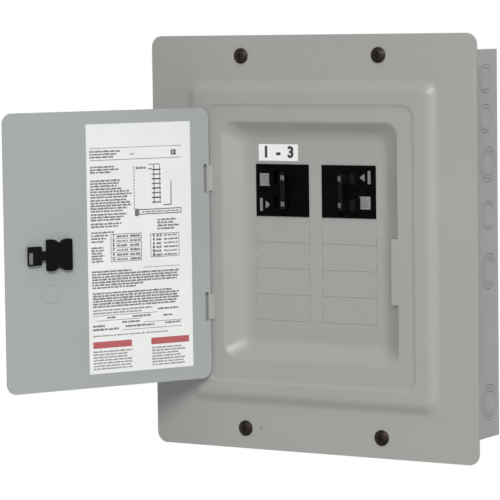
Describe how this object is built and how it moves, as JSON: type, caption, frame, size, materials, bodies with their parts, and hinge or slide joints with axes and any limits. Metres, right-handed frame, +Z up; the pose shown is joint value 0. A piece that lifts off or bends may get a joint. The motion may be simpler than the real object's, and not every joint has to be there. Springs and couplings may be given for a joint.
{
  "type": "subpanel enclosure",
  "caption": "Flush-mount electrical subpanel: steel box, drawn cover with a hinged, latching door over a recessed dead front, plug-in breakers, bus and neutral bars.",
  "frame": {"origin": "middle of the back of the box, on the wall", "axes": "+Z up, +X to the right seen from the front, +Y into the wall; the front faces -Y"},
  "size_m": [0.3928, 0.3, 0.404],
  "materials": {
    "box_paint": "satin",
    "cover_paint": "satin",
    "door_paint": "satin",
    "dark_screw": "dark oxide",
    "zinc": "zinc plated",
    "pan_steel": "galvanised",
    "bus_metal": "tin plated",
    "bar_metal": "satin",
    "jaw_metal": "plated",
    "green_screw": "dyed zinc",
    "breaker_plastic": "moulded",
    "handle_plastic": "moulded",
    "base_plastic": "moulded",
    "post_plastic": "moulded",
    "latch_plastic": "moulded",
    "label_sheet": "printed sheet",
    "marker_sheet": "printed sheet"
  },
  "bodies": {
    "enclosure": {"enclosure_wrap": "box_paint", "top_end_wall": "box_paint", "bottom_end_wall": "box_paint", "cover_trim": "cover_paint", "cover_screws": "dark_screw", "main_marker": "marker_sheet", "interior_pan": "pan_steel", "pan_screws": "zinc", "bus_base": "base_plastic", "base_screws": "zinc", "bus_bar_a": "bus_metal", "bus_bar_b": "bus_metal", "bus_screws": "zinc", "neutral_supports": "post_plastic", "neutral_bar_left": "bar_metal", "neutral_bar_right": "bar_metal", "neutral_screws": "zinc", "neutral_mount_screws": "zinc", "neutral_strap": "bar_metal", "strap_screws": "zinc", "neutral_lug": "bar_metal", "lug_screw": "zinc", "bonding_screw": "green_screw", "ground_bar": "bar_metal", "ground_screws": "green_screw", "ground_mount_screws": "zinc", "main_breaker_case": "breaker_plastic", "main_breaker_jaws": "jaw_metal", "main_terminals": "bar_metal", "main_terminal_screws": "zinc", "main_hold_down": "pan_steel", "hold_down_screw": "zinc", "branch_breaker_case": "breaker_plastic", "branch_breaker_jaws": "jaw_metal", "branch_terminals": "bar_metal", "branch_terminal_screws": "zinc"},
    "door": {"door_panel": "door_paint", "hinge_pins": "zinc", "door_label": "label_sheet"},
    "latch": {"latch_slide": "latch_plastic", "latch_knob": "latch_plastic"},
    "main_handles": {"main_toggles": "handle_plastic", "main_handle_tie": "handle_plastic"},
    "branch_handles": {"branch_toggles": "handle_plastic", "branch_handle_tie": "handle_plastic"}
  },
  "joints": [
    {"name": "door_swing", "type": "hinge", "parent": "enclosure", "child": "door", "pos_m": [-0.1122, -0.09975, 0], "axis": [0, 0, -1], "range_deg": [-117, 50]},
    {"name": "latch_slide", "type": "slide", "parent": "door", "child": "latch", "axis": [-0.454, -0.891, 0], "range_m": [0, 0.005]},
    {"name": "main_toggle", "type": "hinge", "parent": "enclosure", "child": "main_handles", "pos_m": [-0.03675, -0.072, 0.0515], "axis": [0, 0, -1], "range_deg": [0, 28]},
    {"name": "branch_toggle", "type": "hinge", "parent": "enclosure", "child": "branch_handles", "pos_m": [0.03675, -0.072, 0.0515], "axis": [0, 0, 1], "range_deg": [0, 28]}
  ]
}
